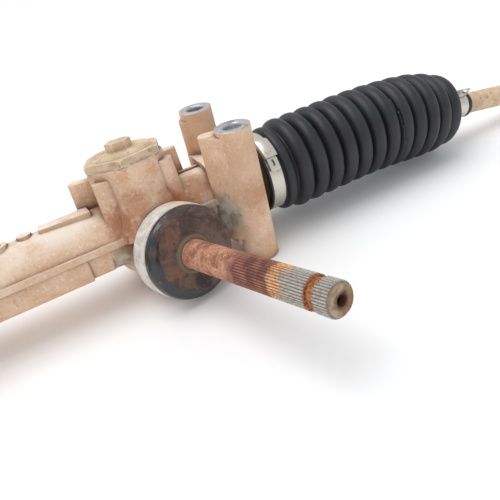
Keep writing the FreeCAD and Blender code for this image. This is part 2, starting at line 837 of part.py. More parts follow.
def ball_seat():
    shell = Part.makeSphere(seat_r, ball_centre).cut(Part.makeSphere(ball_r + joint_play, ball_centre))
    shell = shell.cut(mouth_cone())
    drain = cylinder(ball_r / 3, V(ball_x - seat_r - 1, 0, rack_height), x_dir, seat_wall + 3)
    return shell.cut(drain)


def lock_washer():
    outer_r = socket_d / 2 - 1
    body = ring(rack_stud_d / 2, outer_r, V(0, 0, rack_height), x_dir, washer_x, socket_x)
    half = socket_flats / 2
    keep = box((washer_x, socket_x), (-half, half), (rack_height - outer_r, rack_height + outer_r))
    return body.common(keep)


def tie_rod():
    neck_r = tie_neck_d / 2
    body_r = tie_rod_d / 2
    thread_r = tie_thread_d / 2
    thread_start = tie_rod_length - tie_thread_length
    outline = [
        (0, 0), (tie_rod_length, 0), (tie_rod_length, thread_r - 1.2), (tie_rod_length - 1.2, thread_r),
        (thread_start, thread_r), (thread_start - 2, body_r), (tie_body_start, body_r),
        (tie_neck_end, neck_r), (0, neck_r),
    ]
    rod = revolved(outline, ball_centre, rod_dir).fuse(Part.makeSphere(ball_r, ball_centre))
    flats_from = ball_centre + rod_dir * (thread_start - 16)
    side = V(0, 1, 0)
    for sign in (-1, 1):
        cutter = Part.makeBox(12, tie_rod_d, tie_rod_d)
        cutter.translate(V(0, -tie_rod_d / 2, tie_flats / 2))
        cutter.rotate(V(0, 0, 0), x_dir, 90 * sign)
        cutter.rotate(V(0, 0, 0), side, math.degrees(tie_rod_droop))
        cutter.translate(flats_from)
        rod = rod.cut(cutter)
    return rod.removeSplitter()


# Bellows and clamps, also turned round for the left


def bellows_frame(distance):
    """The point and direction of the bellows' centre line, which bends to the drooping tie rod."""
    bend_start = ball_x - pair_x - bend_reach
    bend_r = bend_reach / math.tan(tie_rod_droop / 2)
    turn = min(max((distance - bend_start) / bend_r, 0.0), tie_rod_droop)
    direction = V(math.cos(turn), 0, -math.sin(turn))
    straight = min(distance, bend_start)
    arc = V(bend_r * math.sin(turn), 0, bend_r * (math.cos(turn) - 1))
    rest = max(distance - bend_start - bend_r * tie_rod_droop, 0.0)
    return V(pair_x + straight, 0, rack_height) + arc + direction * rest, direction


def crest_diameter(number):
    late = number - (crest_count - len(last_crests))
    return last_crests[late] if late >= 0 else crest_d


def bellows_outline():
    points = [(cuff_start, cuff_d / 2), (cuff_end, cuff_d / 2), (cuff_end + 0.6, lip_d / 2)]
    points += [(lip_end, lip_d / 2)]
    for number in range(crest_count):
        middle = crest_first + number * crest_pitch
        crest_r = crest_diameter(number) / 2
        valley_r = min(valley_d / 2, crest_r - 3.2)
        points.append((middle - crest_pitch / 2, valley_r))
        points.append((middle - crest_flat / 2, crest_r))
        points.append((middle + crest_flat / 2, crest_r))
    points.append((neck_start, neck_d / 2))
    points.append((neck_end, neck_d / 2))
    return points


def bellows_bore():
    """The inside, which follows the crests with plain cones."""
    spigot_r = spigot_d / 2 + bellows_clearance
    points = [(cuff_start - 1, spigot_r), (cuff_end + 1.6, spigot_r)]
    for number in range(crest_count):
        middle = crest_first + number * crest_pitch
        crest_r = crest_diameter(number) / 2
        valley_r = min(valley_d / 2, crest_r - 3.2)
        points.append((middle - crest_pitch / 2, valley_r - bellows_wall))
        points.append((middle, crest_r - 1.6 * bellows_wall))
    rod_r = tie_rod_d / 2 + bellows_clearance
    points.append((neck_start - 2, rod_r + 0.6))
    points.append((neck_end + 1, rod_r))
    return points


def swept_rings(points):
    circles = []
    for distance, radius in points:
        centre, direction = bellows_frame(distance)
        circles.append(Part.Wire(Part.makeCircle(radius, centre, direction)))
    return Part.makeLoft(circles, True, True)


def bellows():
    return swept_rings(bellows_outline()).cut(swept_rings(bellows_bore()))


def bellows_clamp():
    """The wide stainless band on the housing cuff, with its overlapping buckle."""
    inner_r = cuff_d / 2 + running_clearance
    outer_r = inner_r + band_thickness
    start = pair_x + band_start
    axis_point = V(0, 0, rack_height)
    band = ring(inner_r, outer_r, axis_point, x_dir, start, start + band_width)
    buckle = ring(outer_r - 0.2, outer_r + buckle_height, axis_point, x_dir, start, start + band_width)
    keep = box((start, start + band_width), (-buckle_width, 0), (rack_height, rack_height + 2 * outer_r))
    keep.rotate(axis_point, x_dir, -8)
    return band.fuse(buckle.common(keep))


def spring_clamp():
    """The small spring clip on the tie rod end, with two upstanding ears."""
    base, direction = bellows_frame(small_clamp_start)
    inner_r = neck_d / 2 + bellows_clearance
    band = ring(inner_r, inner_r + small_clamp_wall, base, direction, 0, small_clamp_width)
    up = direction.cross(V(0, 1, 0))
    ears = []
    for side in (-1, 1):
        low = base + up * (inner_r + small_clamp_wall / 2) + V(0, (side * small_clamp_gap - small_clamp_wall) / 2, 0)
        corners = [low, low + direction * small_clamp_width]
        corners.append(corners[1] + up * small_clamp_ear)
        corners.append(low + up * small_clamp_ear)
        ear = Part.Face(Part.makePolygon(corners + [low])).extrude(V(0, small_clamp_wall, 0))
        ear.rotate(base, direction, small_clamp_turn)
        ears.append(ear)
    return band.fuse(ears)


leaning = {
    "rack_bar": rack_bar(),
    "pinion_shaft": pinion_shaft(),
    "bearing_outer_ring": bearing_outer_ring(),
    "bearing_inner_ring": bearing_inner_ring(),
    "bearing_balls": bearing_balls(),
    "bearing_cage": bearing_cage(),
    "bearing_circlip": bearing_circlip(),
    "shaft_circlip": shaft_circlip(),
    "tail_bush": tail_bush(),
    "pinion_seal": pinion_seal(),
    "pinion_dust_cap": pinion_dust_cap(),
    "yoke": yoke(),
    "yoke_liner": yoke_liner(),
    "yoke_o_ring": yoke_o_ring(),
    "yoke_spring": yoke_spring(),
    "yoke_plug": yoke_plug(),
    "yoke_lock_nut": yoke_lock_nut(),
}
paired = {
    "ball_socket": ball_socket(),
    "ball_seat": ball_seat(),
    "lock_washer": lock_washer(),
    "tie_rod": tie_rod(),
    "bellows": bellows(),
    "bellows_clamp": bellows_clamp(),
    "spring_clamp": spring_clamp(),
}
nodes = {"rack_housing": rack_housing(), "rack_bush": rack_bush()}
for name, shape in leaning.items():
    nodes[name] = leaned(shape)
for name, shape in paired.items():
    nodes[name + "_right"] = shape
    nodes[name + "_left"] = turned_round(shape)

os.makedirs("parts", exist_ok=True)
for name, shape in nodes.items():
    export(shape, name)
    state = "valid" if shape.isValid() else "INVALID"
    print(name, len(shape.Solids), round(shape.Volume / 1000, 2), "cm3", state)
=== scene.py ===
import bpy
import math
from mathutils import Matrix, Vector


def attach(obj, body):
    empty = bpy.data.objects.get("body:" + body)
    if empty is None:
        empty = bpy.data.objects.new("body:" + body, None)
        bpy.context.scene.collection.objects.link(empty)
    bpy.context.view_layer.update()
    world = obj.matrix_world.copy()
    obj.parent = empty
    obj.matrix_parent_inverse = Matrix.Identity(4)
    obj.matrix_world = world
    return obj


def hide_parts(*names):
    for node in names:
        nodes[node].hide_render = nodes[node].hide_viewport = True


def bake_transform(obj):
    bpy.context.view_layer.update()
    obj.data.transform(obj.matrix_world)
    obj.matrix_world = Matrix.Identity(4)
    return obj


# Steering rack: rusted input shaft, dusty casting, black bellows with two clamps at each end.
# Metres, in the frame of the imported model. X runs along the rack, Z up, the input shaft points to -Y.

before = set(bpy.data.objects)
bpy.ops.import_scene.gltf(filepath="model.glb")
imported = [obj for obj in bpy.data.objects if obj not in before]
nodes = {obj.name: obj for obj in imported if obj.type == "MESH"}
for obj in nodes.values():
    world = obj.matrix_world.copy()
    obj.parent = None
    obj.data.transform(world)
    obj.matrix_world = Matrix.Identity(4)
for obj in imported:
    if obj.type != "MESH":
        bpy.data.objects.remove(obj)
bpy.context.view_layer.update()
bpy.ops.object.select_all(action="DESELECT")

mm = 0.001
rack_z = 36.4 * mm

# Mounting tubes, in two pairs at x = pair_x and -pair_x
pair_x = 110 * mm
mount_y = 26.75 * mm
mount_top = 81 * mm

# Tie rods. A clip and a thread start this far along the rod from its ball
ball_x = 223.5 * mm
tie_rod_droop = math.radians(8.8)
clip_start = 63.63 * mm
clip_width = 10 * mm
thread_start = 156 * mm

# The pinion's axis, and the dust cap round it
pinion_centre = Vector((55.1, -1.93, 22.865)) * mm
pinion_dir = Vector((0.22835, -0.96363, 0.13886))
pinion_side = Vector((0.97358, 0.22602, -0.03257))
pinion_up = pinion_side.cross(pinion_dir)
cap_r = 26 * mm
cap_face = 43.7 * mm

# Points round a bellows and round a strap, and how far before the ball a bellows' centre line turns down
bellows_sides = 44
strap_sides = 120
bend_reach = 32 * mm

# Where each bellows is cut into three lengths, out from its pair of mounting tubes
turn_from = 114 * mm
tip_from = 132 * mm

# Edges sharper than the first are bevelled, and those below the second are shaded smooth
sharp_turn = math.radians(40)
smooth_turn = math.radians(35)


# Camera, floor and light


def add_camera():
    """The photograph's viewpoint, given by its place, its two angles and its roll."""
    place = Vector((5.46, -293.206, 174.938)) * mm
    azimuth, elevation, roll = (math.radians(a) for a in (-20.03791, 30.91760, -14.34378))
    forward = Vector((
        -math.sin(azimuth) * math.cos(elevation),
        math.cos(azimuth) * math.cos(elevation),
        -math.sin(elevation),
    ))
    right = Vector((math.cos(azimuth), math.sin(azimuth), 0))
    up = right.cross(forward)
    rolled_right = right * math.cos(roll) + up * math.sin(roll)
    rolled_up = up * math.cos(roll) - right * math.sin(roll)
    turn = Matrix((rolled_right, rolled_up, -forward)).transposed().to_4x4()
    bpy.ops.object.camera_add()
    camera = bpy.context.object
    camera.name = "camera"
    camera.matrix_world = Matrix.Translation(place) @ turn
    camera.data.sensor_width = 36
    camera.data.lens = 39.696
    camera.data.clip_start = 0.01
    bpy.context.scene.camera = camera


def add_floor():
    """A pale table, a hair below the feet."""
    bpy.ops.mesh.primitive_plane_add(size=6, location=(0, 0, -0.4 * mm))
    floor = bpy.context.object
    floor.name = "floor"
    floor.data.materials.append(floor_paint())


def add_sun(strength, spread, place):
    """Soft light that falls from a place in the sky towards the middle of the part."""
    bpy.ops.object.light_add(type="SUN", location=place)
    sun = bpy.context.object
    sun.name = "sun"
    sun.data.energy = strength
    sun.data.angle = math.radians(spread)
    sun.rotation_euler = (-Vector(place)).to_track_quat("-Z", "Y").to_euler()


def add_world():
    """An even sky, which the camera and clear pieces see as plain white."""
    world = bpy.data.worlds.new("studio")
    bpy.context.scene.world = world
    world.use_nodes = True
    tree = world.node_tree
    tree.nodes.clear()
    rays = tree.nodes.new("ShaderNodeLightPath")
    seen = tree.nodes.new("ShaderNodeMath")
    seen.operation = "MAXIMUM"
    tree.links.new(rays.outputs["Is Camera Ray"], seen.inputs[0])
    tree.links.new(rays.outputs["Is Transmission Ray"], seen.inputs[1])
    soft = tree.nodes.new("ShaderNodeBackground")
    soft.inputs["Color"].default_value = (0.98, 0.99, 1.0, 1)
    soft.inputs["Strength"].default_value = 0.74
    white = tree.nodes.new("ShaderNodeBackground")
    white.inputs["Color"].default_value = (1, 1, 1, 1)
    blend = tree.nodes.new("ShaderNodeMixShader")
    output = tree.nodes.new("ShaderNodeOutputWorld")
    tree.links.new(seen.outputs[0], blend.inputs[0])
    tree.links.new(soft.outputs[0], blend.inputs[1])
    tree.links.new(white.outputs[0], blend.inputs[2])
    tree.links.new(blend.outputs[0], output.inputs["Surface"])


# Materials


# On the casting, a place in mm, a size in mm and a share: where it is bare, and where it is stained
bare_places = (
    ((33, -15, 26), 10, 0.9), ((96, -22, 32), 13, 0.9), ((88, -19, 39), 6, 0.7), ((30, -18, 33), 5, 0.6),
    ((-88, -19, 34), 12, 0.8), ((20, 18, 30), 13, 0.8), ((-40, 12, 48), 9, 0.6),
)
rusty_places = (
    ((49, -17, 56), 9, 0.5), ((86, -12, 50), 9, 0.6), ((66, -18, 50), 8, 0.45), ((110, -36, 42), 10, 0.3),
    ((40, -15, 47), 10, 0.5), ((76, -18, 56), 9, 0.45), ((60, -22, 60), 12, 0.25), ((38, -18, 50), 9, 0.6),
    ((72, -18, 46), 9, 0.6),
)

# On the cap's face, a place and a size in shares of its radius: stains, and rust through the black rim
cap_stains = (
    ((0.02, 0.60), 0.30, 0.9, (52, 42, 42)), ((0.10, -0.66), 0.28, 0.8, (72, 50, 44)),
    ((0.55, 0.35), 0.42, 0.6, (122, 97, 86)), ((-0.52, 0.20), 0.22, 0.4, (140, 92, 68)),
    ((-0.40, -0.50), 0.26, 0.4, (134, 88, 66)),
)
rim_rust = (((-0.92, 0.20), 0.07), ((-0.84, -0.44), 0.12), ((-0.62, -0.72), 0.10))


def rgb(red, green, blue):
    """A colour given as on a screen, from 0 to 255."""
    linear = []
    for value in (red, green, blue):
        share = value / 255
        linear.append(share / 12.92 if share <= 0.04045 else ((share + 0.055) / 1.055) ** 2.4)
    return (*linear, 1)


class Finish:
    """A node material with one shader, and short calls for the patterns on it."""

    def __init__(self, name, metallic=0.0, roughness=0.5, specular=0.5):
        self.material = bpy.data.materials.new(name)
        self.material.use_nodes = True
        self.tree = self.material.node_tree
        self.shader = self.tree.nodes["Principled BSDF"]
        self.shader.inputs["Metallic"].default_value = metallic
        self.shader.inputs["Roughness"].default_value = roughness
        self.shader.inputs["Specular IOR Level"].default_value = specular
        self.place = self.add("ShaderNodeTexCoord").outputs["Object"]

    def add(self, kind, **settings):
        made = self.tree.nodes.new(kind)
        for key, value in settings.items():
            setattr(made, key, value)
        return made

    def plug(self, value, socket):
        if isinstance(value, bpy.types.NodeSocket):
            self.tree.links.new(value, socket)
        else:
            socket.default_value = value

    def maths(self, operation, first, second=0.0):
        made = self.add("ShaderNodeMath", operation=operation)
        self.plug(first, made.inputs[0])
        self.plug(second, made.inputs[1])
        return made.outputs[0]

    def vector(self, operation, first, second=(0, 0, 0)):
        made = self.add("ShaderNodeVectorMath", operation=operation)
        self.plug(first, made.inputs[0])
        self.plug(second, made.inputs[1])
        return made.outputs["Value" if operation in ("DOT_PRODUCT", "LENGTH", "DISTANCE") else "Vector"]

    def parts(self, vector):
        """The X, Y and Z of a vector."""
        made = self.add("ShaderNodeSeparateXYZ")
        self.plug(vector, made.inputs[0])
        return made.outputs

    def combine(self, *values):
        made = self.add("ShaderNodeCombineXYZ")
        for value, socket in zip(values, made.inputs):
            self.plug(value, socket)
        return made.outputs[0]

    def noise(self, scale, detail=3.0, rough=0.55, place=None, shift=0.0, distort=0.0):
        made = self.add("ShaderNodeTexNoise")
        if shift:
            moved = self.vector("ADD", place or self.place, (shift, shift * 1.7, -shift))
        else:
            moved = place or self.place
        self.plug(moved, made.inputs["Vector"])
        made.inputs["Scale"].default_value = scale
        made.inputs["Detail"].default_value = detail
        made.inputs["Roughness"].default_value = rough
        made.inputs["Distortion"].default_value = distort
        return made.outputs["Fac"]

    def stretch(self, scale):
        made = self.add("ShaderNodeMapping")
        self.plug(self.place, made.inputs["Vector"])
        made.inputs["Scale"].default_value = scale
        return made.outputs["Vector"]

    def step(self, value, low, high):
        """0 below low and 1 above high, smooth between them. It falls where low is above high."""
        made = self.add("ShaderNodeMapRange", interpolation_type="SMOOTHSTEP")
        self.plug(value, made.inputs["Value"])
        rising = low < high
        made.inputs["From Min"].default_value = min(low, high)
        made.inputs["From Max"].default_value = max(low, high)
        made.inputs["To Min"].default_value = 0.0 if rising else 1.0
        made.inputs["To Max"].default_value = 1.0 if rising else 0.0
        return made.outputs["Result"]

    def patches(self, scale, detail, rough, shift=0.0, low=0.4, high=0.6, share=1.0):
        """Scattered patches, as strong as the share, and sharper where low and high are close."""
        made = self.step(self.noise(scale, detail, rough, shift=shift), low, high)
        return made if share == 1 else self.times(made, share)

    def ragged(self, scale, detail, rough, width, shift=0.0):
        """Moves a border in and out, over the width."""
        return self.times(self.maths("SUBTRACT", self.noise(scale, detail, rough, shift=shift), 0.5), width)

    def mix(self, share, first, second):
        made = self.add("ShaderNodeMix", data_type="RGBA")
        self.plug(share, made.inputs[0])
        self.plug(first, made.inputs[6])
        self.plug(second, made.inputs[7])
        return made.outputs[2]

    def spotted(self, under, spots, grain, low, high, share=1.0):
        """A colour with patches of another on it. The grain is their scale, detail, roughness and shift."""
        return self.mix(self.patches(*grain, low=low, high=high, share=share), under, spots)

    def blend(self, share, first, second):
        made = self.add("ShaderNodeMix", data_type="FLOAT")
        self.plug(share, made.inputs[0])
        self.plug(first, made.inputs[2])
        self.plug(second, made.inputs[3])
        return made.outputs[0]

    def worn_edge(self, radius, low, high):
        """1 on edges, where the surface turns within the radius."""
        rounded = self.add("ShaderNodeBevel", samples=6)
        rounded.inputs["Radius"].default_value = radius
        flat = self.add("ShaderNodeNewGeometry").outputs["Normal"]
        near = self.vector("DOT_PRODUCT", rounded.outputs["Normal"], flat)
        return self.step(self.maths("SUBTRACT", 1.0, near), low, high)

    def rounded(self, radius):
        """The surface's direction with its edges and inner corners rounded off, as a casting's are."""
        soft = self.add("ShaderNodeBevel", samples=8)
        soft.inputs["Radius"].default_value = radius
        return soft.outputs["Normal"]

    def corner(self, distance, low, high):
        """1 in corners and close gaps."""
        shade = self.add("ShaderNodeAmbientOcclusion", samples=8)
        shade.inputs["Distance"].default_value = distance
        return self.step(shade.outputs["AO"], high, low)

    def bump(self, height, strength, distance, under=None):
        made = self.add("ShaderNodeBump")
        made.inputs["Strength"].default_value = strength
        made.inputs["Distance"].default_value = distance
        self.plug(height, made.inputs["Height"])
        if under is not None:
            self.plug(under, made.inputs["Normal"])
        return made.outputs["Normal"]

    def finish(self, colour, roughness=None, metallic=None, normal=None):
        names = ("Base Color", "Roughness", "Metallic", "Normal")
        for name, value in zip(names, (colour, roughness, metallic, normal)):
            if value is not None:
                self.plug(value, self.shader.inputs[name])
        return self.material

    def near(self, point, radius):
        """1 at a point, fading out raggedly to 0 at about the radius."""
        away = self.vector("DISTANCE", self.place, tuple(point))
        coarse = self.maths("SUBTRACT", self.noise(1.6 / radius, 5, 0.75, shift=7.7, distort=0.5), 0.5)
        torn = self.maths("ADD", coarse, self.ragged(420, 4, 0.7, 0.5, shift=9.1))
        reach = self.maths("ADD", away, self.times(torn, 1.9 * radius))
        return self.step(reach, radius * 1.15, radius * 0.45)

    def times(self, first, *others):
        for other in others:
            first = self.maths("MULTIPLY", first, other)
        return first

    def from_pinion(self):
        """Distance along the pinion's axis, and distance from that axis."""
        offset = self.vector("SUBTRACT", self.place, tuple(pinion_centre))
        along = self.vector("DOT_PRODUCT", offset, tuple(pinion_dir))
        scaled = self.add("ShaderNodeVectorMath", operation="SCALE")
        scaled.inputs[0].default_value = tuple(pinion_dir)
        self.plug(along, scaled.inputs["Scale"])
        away = self.vector("LENGTH", self.vector("SUBTRACT", offset, scaled.outputs["Vector"]))
        return along, away


def floor_paint():
    look = Finish("pale_table", roughness=0.85, specular=0.1)
    return look.finish(rgb(253, 254, 255))


def dusty_casting():
    """Cast aluminium under tan dust, with painted shade in corners and brown grime in patches there, painted
    light on upward faces, painted shade on side faces, and bare faces where it wore off.
    """
    look = Finish("dusty_casting", specular=0.3)
    cloud = look.noise(30, 4, 0.6)
    tan = look.mix(look.step(cloud, 0.34, 0.66), rgb(222, 186, 156), rgb(238, 210, 184))
    tan = look.spotted(tan, rgb(224, 174, 140), (75, 3, 0.6, 0.31), 0.56, 0.70)
    tan = look.spotted(tan, rgb(206, 172, 144), (17, 3, 0.5, 4.4), 0.50, 0.62, 0.6)
    upward = look.parts(look.add("ShaderNodeNewGeometry").outputs["Normal"])[2]
    tan = look.spotted(tan, rgb(182, 138, 106), (430, 4, 0.7, 2.6), 0.54, 0.66, 0.4)
    tan = look.spotted(tan, rgb(246, 230, 212), (520, 4, 0.7, 5.6), 0.54, 0.64, 0.5)
    # Upward faces are painted paler in patches: dust lying on them, and painted light on the tops.
    drifts_and_light = look.patches(55, 4, 0.65, shift=8.2, low=0.32, high=0.62)
    dust_and_light_on_tops = look.times(look.step(upward, 0.35, 0.95), drifts_and_light)
    tan = look.mix(look.times(dust_and_light_on_tops, 0.85), tan, rgb(244, 234, 220))
    # Faces that turn sideways or down are painted darker in streaky patches: painted shade on the sides.
    side_shade_streaks = look.patches(26, 3, 0.6, shift=8.9, low=0.36, high=0.60)
    sides = look.times(look.step(upward, 0.25, -0.05), side_shade_streaks)
    tan = look.mix(look.times(sides, 0.6), tan, rgb(206, 164, 130))
    corner = look.corner(13 * mm, 0.30, 0.92)
    corner_dirt_and_shade = look.times(corner, look.patches(64, 4, 0.65, shift=0.7, low=0.34, high=0.58))
    # Corners and close gaps are painted brown: painted shade, with patches of darker grime in them.
    tan = look.mix(look.times(corner, 0.75), tan, rgb(158, 116, 88))
    tan = look.mix(corner_dirt_and_shade, tan, rgb(116, 74, 52))
    bare = look.mix(look.patches(150, 3, 0.6, shift=1.3), rgb(196, 192, 180), rgb(150, 146, 130))
    wear = look.patches(46, 5, 0.62, shift=2.1, low=0.66, high=0.72, share=0.25)
    for point, radius, share in bare_places:
        wear = look.maths("MAXIMUM", wear, look.times(look.near(Vector(point) * mm, radius * mm), share))
    colour = look.mix(wear, tan, bare)
    for point, radius, share in rusty_places:
        stained = look.times(look.near(Vector(point) * mm, radius * mm), share)
        colour = look.mix(stained, colour, look.mix(cloud, rgb(138, 86, 60), rgb(190, 122, 84)))
    along, away = look.from_pinion()
    offset = look.vector("SUBTRACT", look.place, tuple(pinion_centre))
    across = look.vector("DOT_PRODUCT", offset, tuple(pinion_side))
    # The machined ring round the pinion boss is painted pale only on its left side: bare metal, and a painted
    # highlight on that side.
    ring = look.times(
        look.step(along, 24.5 * mm, 26.5 * mm),
        look.step(away, 19 * mm, 22 * mm),
        look.step(away, 29 * mm, 27.5 * mm),
        look.step(across, 10 * mm, -4 * mm),
    )
    clean = look.patches(230, 3, 0.6, shift=3.3, low=0.35, high=0.65)
    pale = look.mix(clean, rgb(228, 224, 218), rgb(198, 194, 187))
    colour = look.mix(ring, colour, pale)
    x, y, z = look.parts(look.place)
    far = look.maths("ABSOLUTE", x)
    hole_x = look.maths("SUBTRACT", far, pair_x)
    hole_y = look.maths("SUBTRACT", look.maths("ABSOLUTE", y), mount_y)
    from_hole = look.vector("LENGTH", look.combine(hole_x, hole_y))
    head = look.step(z, mount_top - 0.15 * mm, mount_top - 0.05 * mm)
    ends = look.maths("MAXIMUM", head, look.step(z, 0.15 * mm, 0.05 * mm))
    machined = look.maths("MAXIMUM", ends, look.step(from_hole, 6.7 * mm, 6.4 * mm))
    turning = look.maths("PINGPONG", from_hole, 0.35 * mm)
    grain = look.patches(900, 2, 0.5, shift=4.0, low=0.3, high=0.7)
    grey = look.mix(grain, rgb(168, 170, 174), rgb(208, 209, 212))
    grey = look.spotted(grey, rgb(150, 142, 132), (120, 3, 0.6, 4.6), 0.55, 0.66)
    colour = look.mix(machined, colour, grey)
    from_rack = look.vector("LENGTH", look.combine(0.0, y, look.maths("SUBTRACT", z, rack_z)))
    shadowed = look.times(
        look.step(far, pair_x + 5 * mm, pair_x + 11 * mm),
        look.step(from_rack, 24.5 * mm, 23.8 * mm),
    )
    colour = look.mix(shadowed, colour, look.mix(cloud, rgb(84, 74, 60), rgb(54, 48, 42)))
    edge = look.times(
        look.worn_edge(1.1 * mm, 0.03, 0.20),
        look.patches(90, 3, 0.6, shift=6.1, low=0.28, high=0.48),
        look.step(corner, 0.45, 0.05),
    )
    colour = look.mix(look.times(edge, 0.7), colour, rgb(246, 236, 222))
    rough = look.blend(machined, look.blend(ring, 0.92, 0.55), 0.36)
    metal = look.blend(machined, look.times(ring, 0.2), 0.6)
    sand = look.bump(look.noise(1400, 2, 0.6), 0.35, 0.25 * mm, look.rounded(1.8 * mm))
    lumps = look.bump(look.noise(240, 3, 0.6, shift=5.0), 0.35, 0.6 * mm, sand)
    rings = look.bump(turning, 0.25, 0.06 * mm, lumps)
    return look.finish(colour, rough, metal, rings)


def dusty_steel():
    """Steel under the same dust, worn bright along its edges, with the tie rods' threads."""
    look = Finish("dusty_steel", specular=0.4)
    tan = look.mix(look.patches(110, 4, 0.6, low=0.35, high=0.65), rgb(222, 198, 170), rgb(200, 172, 142))
    tan = look.spotted(tan, rgb(156, 126, 98), (210, 4, 0.65, 0.9), 0.54, 0.68, 0.8)
    # Corners and close gaps are painted brown: painted shade.
    tan = look.mix(look.times(look.corner(6 * mm, 0.3, 0.8), 0.7), tan, rgb(122, 94, 72))
    rubbed = look.patches(300, 3, 0.6, shift=1.9, low=0.26, high=0.46)
    worn = look.times(look.worn_edge(1.0 * mm, 0.02, 0.14), rubbed)
    colour = look.mix(worn, tan, rgb(238, 230, 218))
    x, y, z = look.parts(look.place)
    out = look.maths("SUBTRACT", look.maths("ABSOLUTE", x), ball_x)
    drop = look.maths("SUBTRACT", rack_z, z)
    level, slope = math.cos(tie_rod_droop), math.sin(tie_rod_droop)
    along = look.maths("ADD", look.times(out, level), look.times(drop, slope))
    rise = look.maths("SUBTRACT", look.times(out, slope), look.times(drop, level))
    turn = look.maths("ARCTAN2", y, rise)
    pitch = 1.25 * mm
    helix = look.maths("ADD", along, look.times(turn, pitch / (2 * math.pi)))
    groove = look.times(look.maths("PINGPONG", helix, pitch / 2), 2 / pitch)
    threaded = look.step(along, thread_start, thread_start + 1 * mm)
    colour = look.mix(look.times(threaded, look.step(groove, 0.45, 0.1)), colour, rgb(120, 104, 84))
    rough = look.blend(worn, 0.85, 0.45)
    grain = look.bump(look.noise(1200, 2, 0.6), 0.3, 0.2 * mm)
    normal = look.bump(look.times(groove, threaded), 0.8, 0.6 * mm, grain)
    return look.finish(colour, rough, look.times(worn, 0.4), normal)


def machined_steel():
    look = Finish("machined_steel", metallic=0.85, roughness=0.35)
    colour = look.mix(look.noise(600, 3, 0.6), rgb(150, 148, 144), rgb(192, 190, 186))
    rough = look.blend(look.noise(900, 2, 0.6, shift=0.4), 0.25, 0.45)
    return look.finish(colour, rough, None, look.bump(look.noise(2500, 2, 0.5), 0.12, 0.05 * mm))


def bronze_bush():
    look = Finish("bronze_bush", metallic=0.7, roughness=0.45)
    colour = look.mix(look.noise(800, 3, 0.6), rgb(150, 116, 66), rgb(188, 150, 96))
    return look.finish(colour, None, None, look.bump(look.noise(3000, 2, 0.5), 0.15, 0.05 * mm))


def cage_plastic():
    look = Finish("cage_plastic", roughness=0.4)
    colour = look.mix(look.noise(300, 3, 0.6), rgb(214, 208, 190), rgb(228, 222, 206))
    return look.finish(colour, None, None, look.bump(look.noise(2500, 2, 0.5), 0.1, 0.05 * mm))


def rubber():
    """Matte black rubber with faint dust and small scuffs."""
    look = Finish("black_rubber", roughness=0.5, specular=0.5)
    colour = look.mix(look.patches(60, 4, 0.6, low=0.35, high=0.7), rgb(28, 29, 34), rgb(40, 41, 47))
    dust = look.patches(800, 4, 0.7, shift=0.6, low=0.66, high=0.76, share=0.35)
    colour = look.mix(dust, colour, rgb(128, 124, 118))
    rough = look.blend(look.noise(220, 3, 0.6, shift=1.1), 0.36, 0.54)
    normal = look.bump(look.noise(1800, 3, 0.6), 0.12, 0.15 * mm)
    return look.finish(colour, rough, None, normal)


def bright_band():
    """Stainless strip, a little dull, with fine scratches along it."""
    look = Finish("bright_band", metallic=0.85, roughness=0.3)
    fine = look.noise(700, 3, 0.6, place=look.stretch((9, 1, 1)))
    colour = look.mix(fine, rgb(196, 190, 178), rgb(226, 222, 212))
    colour = look.spotted(colour, rgb(176, 156, 130), (260, 4, 0.6, 0.5), 0.6, 0.72)
    rough = look.blend(look.noise(400, 3, 0.6, shift=1.0), 0.22, 0.42)
    return look.finish(colour, rough, None, look.bump(fine, 0.1, 0.05 * mm))


